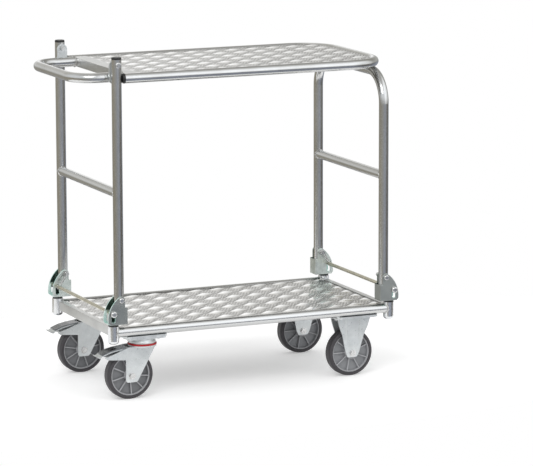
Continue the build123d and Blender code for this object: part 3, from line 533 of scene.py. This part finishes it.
# Pressed decks
def pattern_height(x, y, node):
    """(height, lozenge share) of the pressed pattern at a point of the sheet; the share places painted light and
    shade in the colour.
    """
    pitch_x, pitch_y = LATTICE[node]
    origin_x, origin_y = LATTICE_ORIGIN[node]
    half_along, half_across = LOZENGE_HALF
    u = (x - origin_x) / pitch_x
    v = (y - origin_y) / pitch_y
    near_u, near_v = u - round(u), v - round(v)
    along, across = abs(near_u + near_v), abs(near_u - near_v)
    if along < half_along and across < half_across:
        dome = 1 - (along / half_along) ** LOZENGE_POWER[0]
        dome *= 1 - (across / half_across) ** LOZENGE_POWER[1]
        # Painted highlight: the colour share rises with the dome.
        return LOZENGE_HEIGHT * dome, FIELD_SHARE + (1 - FIELD_SHARE) * min(1.0, LOZENGE_HIGHLIGHT * dome)
    # A flat band beside the lozenge in painted shadow.
    if along < half_along and across < SHADOW_BAND_HALF:
        return 0.0, 0.0
    dots = math.sin(math.tau * x / DOT_PITCH[0]) * math.sin(math.tau * y / DOT_PITCH[1])
    # Painted shade in the dot hollows, lighter on the dot tops.
    return DOT_HEIGHT * max(0.0, dots), FIELD_SHARE * (1 + dots)


def half_width(x, low, high, corner_radius, notch):
    """Half the sheet's width at x, which is less beside notches and in the round far corners."""
    half = (high.y - low.y) / 2
    if min(x - low.x, high.x - x) < notch:
        return half - notch
    past = x - (high.x - corner_radius)
    if corner_radius and past > 0:
        return half - corner_radius + math.sqrt(max(0.0, corner_radius**2 - past**2))
    return half


def sheet_faces(bm, top, bottom, columns, rows):
    """Adds the upper and the lower face of a sheet from their grids of points, and its rim."""
    across = rows + 1
    for column in range(columns):
        for row in range(rows):
            first = column * across + row
            corners = (first, first + across, first + across + 1, first + 1)
            bm.faces.new([top[index] for index in corners])
            bm.faces.new([bottom[index] for index in reversed(corners)])
    rim = [column * across for column in range(columns + 1)]
    rim += [columns * across + row for row in range(1, rows + 1)]
    rim += [column * across + rows for column in range(columns - 1, -1, -1)]
    rim += list(range(rows - 1, 0, -1))
    for here, there in zip(rim, rim[1:] + rim[:1]):
        bm.faces.new((bottom[here], bottom[there], top[there], top[here]))


def pressed_deck(node, body, corner_radius=0.0, notch=0.0):
    """A deck sheet with its pattern as relief, which fades out at the border."""
    low, high = map(Vector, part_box(node))
    face_z = high.z - DECK_SINK
    middle = (high.y + low.y) / 2
    columns = int((high.x - low.x) / DECK_STEP)
    rows = int((high.y - low.y) / DECK_STEP)
    bm = bmesh.new()
    share = bm.verts.layers.float.new("lozenge")
    top, bottom = [], []
    for column in range(columns + 1):
        x = low.x + (high.x - low.x) * column / columns
        reach = half_width(x, low, high, corner_radius, notch)
        for row in range(rows + 1):
            y = middle + reach * (2 * row / rows - 1)
            inside = min(x - low.x, high.x - x, reach - abs(y - middle))
            fade = min(1.0, max(0.0, inside / DECK_BORDER - PLAIN_BORDER) / (1 - PLAIN_BORDER))
            height, lozenge = pattern_height(x, y, node)
            upper = bm.verts.new((x, y, face_z + fade * height))
            upper[share] = fade * lozenge
            top.append(upper)
            bottom.append(bm.verts.new((x, y, low.z)))
    sheet_faces(bm, top, bottom, columns, rows)
    finished(f"{node}_pressed", bm, MATERIALS["patterned_sheet"], body, [node])


pressed_deck("base_deck", "base", notch=BASE_DECK_NOTCH)
pressed_deck("shelf_deck", "shelf", corner_radius=SHELF_DECK_CORNER)


# Return springs
def spring_points(bolt, rod, depth):
    """Middle line of a spring: a hook on the pivot bolt, the coil and a hook on the rod."""
    length = (rod - bolt).length
    along = (rod - bolt).normalized()
    across = along.cross(depth)
    points = []
    for step in range(HOOK_STEPS + 1):
        angle = HOOK_SWEEP * (1 - step / HOOK_STEPS)
        flat = across * math.cos(angle) - along * math.sin(angle)
        points.append(bolt + flat * SPRING_HOOK)
    total = SPRING_TURNS * TURN_STEPS
    for step in range(total + 1):
        angle = math.tau * SPRING_TURNS * step / total
        travel = SPRING_LEAD + (length - 2 * SPRING_LEAD) * step / total
        round_axis = across * math.cos(angle) + depth * math.sin(angle)
        points.append(bolt + along * travel + round_axis * SPRING_COIL)
    for step in range(HOOK_STEPS + 1):
        angle = HOOK_SWEEP * step / HOOK_STEPS
        flat = across * math.cos(angle) + along * math.sin(angle)
        points.append(rod + flat * SPRING_HOOK)
    return points


def wound_springs(end, joint_name):
    """The two springs of one end, which stretch between the base and the lock rod."""
    pivot_x, _, pivot_z = JOINT_AT[joint_name]
    rod_low, rod_high = map(Vector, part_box(f"lock_rod_{end}"))
    rod_at = (rod_low + rod_high) / 2
    spring_node = f"return_springs_{end}"
    spring_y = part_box(spring_node)[1][1] - SPRING_COIL - SPRING_WIRE
    bm = bmesh.new()
    for sign in (-1, 1):
        bolt_hook = Vector((pivot_x, sign * spring_y, pivot_z))
        rod_hook = Vector((rod_at.x, sign * spring_y, rod_at.z))
        tube_mesh(bm, spring_points(bolt_hook, rod_hook, Vector((0, sign, 0))), SPRING_WIRE)
    spring = finished(
        f"{spring_node}_wound", bm, MATERIALS["bright_steel"], None, [spring_node]
    )
    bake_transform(spring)


wound_springs("left", "left_frame_fold")
wound_springs("right", "bow_fold")


# Weld beads
def centre_and_radius(node, axes):
    """Centre of a tube node and half its size across the given axes."""
    low, high = map(Vector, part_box(node))
    middle = (low + high) / 2
    return middle, max((high[axis] - low[axis]) / 2 for axis in axes)


def saddle_bead(bm, centre, run, reach_radius, tube_radius, end_centre):
    """A bead where a level tube that runs along axis `run` meets an upright tube at end_centre."""
    cross = Y if run == X else X
    points = []
    inward = 1 if centre[run] > end_centre[run] else -1
    for step in range(SADDLE_STEPS):
        angle = math.tau * step / SADDLE_STEPS
        point = Vector((0, 0, 0))
        point[cross] = centre[cross] + tube_radius * math.cos(angle)
        point.z = centre.z + tube_radius * math.sin(angle)
        sideways = point[cross] - end_centre[cross]
        point[run] = end_centre[run] + inward * math.sqrt(max(0.0, reach_radius**2 - sideways**2))
        points.append(point)
    tube_mesh(bm, points, BEAD_RADIUS, closed=True, ripples=SADDLE_RIPPLES)


def ring_bead(bm, x, y, z, tube_radius):
    """A bead around the end of a tube that runs along X."""
    points = []
    for step in range(RING_STEPS):
        angle = math.tau * step / RING_STEPS
        points.append(Vector((x, y + tube_radius * math.cos(angle), z + tube_radius * math.sin(angle))))
    tube_mesh(bm, points, BEAD_RADIUS, closed=True, ripples=RING_RIPPLES)


def finished_welds(name, bm, body):
    finished(name, bm, MATERIALS["weld"], body)


def crossbar_welds(bar, body, legs):
    middle, radius = centre_and_radius(bar, (X, Z))
    bm = bmesh.new()
    for leg_centre, leg_radius in legs:
        saddle_bead(bm, middle, Y, leg_radius, radius, leg_centre)
    finished_welds(f"{bar}_welds", bm, body)


def base_rail_welds():
    bm = bmesh.new()
    for side in ("front", "rear"):
        middle, radius = centre_and_radius(f"base_rail_{side}", (Y, Z))
        for end in ("left", "right"):
            stub_low, stub_high = map(Vector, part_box(f"corner_stubs_{end}"))
            stub_centre = Vector(((stub_low.x + stub_high.x) / 2, middle.y, 0))
            saddle_bead(bm, middle, X, (stub_high.x - stub_low.x) / 2, radius, stub_centre)
    finished_welds("base_rail_welds", bm, "base")


def handle_welds():
    low, high = map(Vector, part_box("handle_bow"))
    radius = (high.z - low.z) / 2
    bm = bmesh.new()
    for tube_y in (low.y + radius, high.y - radius):
        ring_bead(bm, high.x - BEAD_RADIUS / 2, tube_y, (low.z + high.z) / 2, radius)
    finished_welds("handle_welds", bm, "shelf")


LEFT_LEGS = [centre_and_radius(f"left_leg_{side}", (X, Y)) for side in ("front", "rear")]
BOW_X = JOINT_AT["bow_fold"][X]
BOW_LEGS = [(Vector((BOW_X, leg.y, 0)), radius) for leg, radius in LEFT_LEGS]
crossbar_welds("left_crossbar", "left_frame", LEFT_LEGS)
crossbar_welds("right_crossbar", "bow", BOW_LEGS)
base_rail_welds()
handle_welds()


# View
forward = Vector((
    math.sin(CAMERA_AZIMUTH) * math.cos(CAMERA_DROP),
    math.cos(CAMERA_AZIMUTH) * math.cos(CAMERA_DROP),
    -math.sin(CAMERA_DROP),
))
level_forward = (math.sin(CAMERA_AZIMUTH), math.cos(CAMERA_AZIMUTH), 0)
level_right = Vector((math.cos(CAMERA_AZIMUTH), -math.sin(CAMERA_AZIMUTH), 0))
level_up = level_right.cross(forward)
right = level_right * math.cos(CAMERA_ROLL) - level_up * math.sin(CAMERA_ROLL)
up = right.cross(forward)
camera_data = bpy.data.cameras.new("photo_camera")
camera_data.sensor_fit = "HORIZONTAL"
camera_data.sensor_width = SENSOR_MM
camera_data.lens = FOCAL_PX * SENSOR_MM / IMAGE_WIDTH_PX
camera_data.clip_end = CAMERA_REACH
camera = bpy.data.objects.new("photo_camera", camera_data)
bpy.context.scene.collection.objects.link(camera)
camera.matrix_world = Matrix((
    (right.x, up.x, -forward.x, CAMERA_AT.x),
    (right.y, up.y, -forward.y, CAMERA_AT.y),
    (right.z, up.z, -forward.z, CAMERA_AT.z),
    (0, 0, 0, 1),
))
bpy.context.scene.camera = camera


# Floor and lamps
def seen_directly(tree):
    """1 for rays that show the surroundings: from the camera, off metal or through glass."""
    path = add_node(tree, "ShaderNodeLightPath")
    seen = path.outputs["Is Camera Ray"]
    for kind in ("Is Glossy Ray", "Is Transmission Ray"):
        seen = combined(tree, "MAXIMUM", seen, path.outputs[kind])
    return seen


def pale_floor():
    bm = bmesh.new()
    bmesh.ops.create_circle(bm, cap_ends=True, segments=FLOOR_SEGMENTS, radius=1.0)
    bmesh.ops.scale(bm, vec=(*FLOOR_HALF, 1.0), verts=bm.verts)
    mesh_data = bpy.data.meshes.new("floor")
    bm.to_mesh(mesh_data)
    bm.free()
    made, tree, shader = new_material("floor")
    set_inputs(tree, shader, {
        "Base Color": two_tone(tree, noise(tree, 0.7), (0.90, 0.90, 0.90), (0.92, 0.92, 0.92)),
        "Roughness": 0.85,
        "Specular IOR Level": 0.1,
        "Emission Color": WHITE,
        "Emission Strength": spread(tree, seen_directly(tree), 0, FLOOR_LIFT, FULL_RANGE),
    })
    mesh_data.materials.append(made)
    floor = bpy.data.objects.new("floor", mesh_data)
    floor.location.y = FLOOR_MIDDLE_Y
    bpy.context.scene.collection.objects.link(floor)


def soft_light(name, place, size, power):
    data = bpy.data.lights.new(name, "AREA")
    data.shape = "RECTANGLE"
    data.size, data.size_y = size
    data.energy = power
    light = bpy.data.objects.new(name, data)
    bpy.context.scene.collection.objects.link(light)
    light.location = place
    light.rotation_euler = (LAMP_TARGET - Vector(place)).to_track_quat("-Z", "Y").to_euler()


# Surroundings in the metal: heights run from straight down to straight up, widths left to right
DIM_ROOM_WIDTH = [
    (0.00, (0.365, 0.330, 0.245)),
    (0.06, (0.375, 0.350, 0.290)),
    (0.20, (0.380, 0.364, 0.320)),
    (0.40, (0.372, 0.372, 0.370)),
    (0.60, (0.356, 0.374, 0.420)),
    (0.80, (0.348, 0.376, 0.440)),
    (0.93, (0.222, 0.230, 0.258)),
    (1.00, (0.140, 0.124, 0.092)),
]
FRONT_HEIGHT = [
    (0.46, (0.55, 0.55, 0.54)),
    (0.50, (0.90, 0.91, 0.92)),
    (0.56, (1.22, 1.25, 1.29)),
    (0.67, (1.32, 1.36, 1.42)),
    (0.83, (1.22, 1.25, 1.28)),
    (0.94, (0.90, 0.90, 0.90)),
    (1.00, (0.70, 0.69, 0.67)),
]
FRONT_WIDTH = [
    (0.64, (0.72, 0.72, 0.71)),
    (0.72, (1.00, 1.00, 1.00)),
    (0.88, (1.00, 1.00, 1.00)),
    (0.96, (0.72, 0.72, 0.71)),
]
BACKDROP_HEIGHT = [
    (0.46, (0.60, 0.60, 0.58)),
    (0.50, (0.78, 0.78, 0.77)),
    (0.54, (1.00, 1.00, 1.00)),
    (0.61, (1.00, 1.00, 1.00)),
    (0.68, (0.84, 0.83, 0.81)),
    (0.76, (0.78, 0.77, 0.74)),
    (0.92, (0.80, 0.79, 0.77)),
    (1.00, (0.82, 0.81, 0.79)),
]
BACKDROP_WIDTH = [
    (0.00, (0.82, 0.82, 0.80)),
    (0.28, (0.86, 0.86, 0.85)),
    (0.37, (1.22, 1.22, 1.22)),
    (0.46, (1.16, 1.16, 1.16)),
    (0.54, (0.82, 0.82, 0.81)),
    (0.62, (0.58, 0.58, 0.57)),
    (0.80, (0.52, 0.52, 0.50)),
    (1.00, (0.54, 0.54, 0.52)),
]
BACKDROP_SIDES = (-0.4, 0.4)
FRONT_TO_BACKDROP = (0.0, 0.55)
ROOM_TO_WALLS = (0.43, 0.48)


def background(tree, colour, strength):
    made = add_node(tree, "ShaderNodeBackground", {"Color": colour, "Strength": strength})
    return made.outputs["Background"]


def mixed(tree, share, first, second):
    return add_node(tree, "ShaderNodeMixShader", {0: share, 1: first, 2: second}).outputs["Shader"]


def studio_world():
    """White to the camera; metal shows a backdrop, a softbox wall in front and a dim room below."""
    world = bpy.data.worlds.new("studio")
    bpy.context.scene.world = world
    world.use_nodes = True
    tree = world.node_tree
    tree.nodes.clear()
    direction = add_node(tree, "ShaderNodeTexCoord").outputs["Generated"]
    height = spread(tree, along_axis(tree, direction, (0, 0, 1)), 0, 1, DIRECTION_RANGE)
    across = along_axis(tree, direction, tuple(level_right))
    width = spread(tree, across, 0, 1, DIRECTION_RANGE)
    front = multiplied(tree, ramp(tree, height, FRONT_HEIGHT), ramp(tree, width, FRONT_WIDTH))
    backdrop = multiplied(
        tree,
        ramp(tree, height, BACKDROP_HEIGHT),
        ramp(tree, spread(tree, across, 0, 1, BACKDROP_SIDES), BACKDROP_WIDTH),
    )
    behind = spread(tree, along_axis(tree, direction, level_forward), 0, 1, FRONT_TO_BACKDROP)
    walls = blended(tree, behind, front, backdrop)
    above = spread(tree, height, 0, 1, ROOM_TO_WALLS)
    studio = background(tree, blended(tree, above, ramp(tree, width, DIM_ROOM_WIDTH), walls), 1.0)
    plain = background(tree, WHITE, PLAIN_LIGHT)
    white = background(tree, WHITE, 1.0)
    path = add_node(tree, "ShaderNodeLightPath").outputs
    mirrored = mixed(tree, path["Is Glossy Ray"], plain, studio)
    shown = mixed(tree, path["Is Camera Ray"], mirrored, white)
    add_node(tree, "ShaderNodeOutputWorld", {"Surface": shown})


pale_floor()
studio_world()
soft_light("key", place=(-3.0, -4.0, 4.5), size=(3.0, 2.5), power=110)
soft_light("fill", place=(4.0, -3.0, 3.0), size=(8.0, 6.0), power=45)
bpy.context.scene.view_settings.view_transform = "Standard"
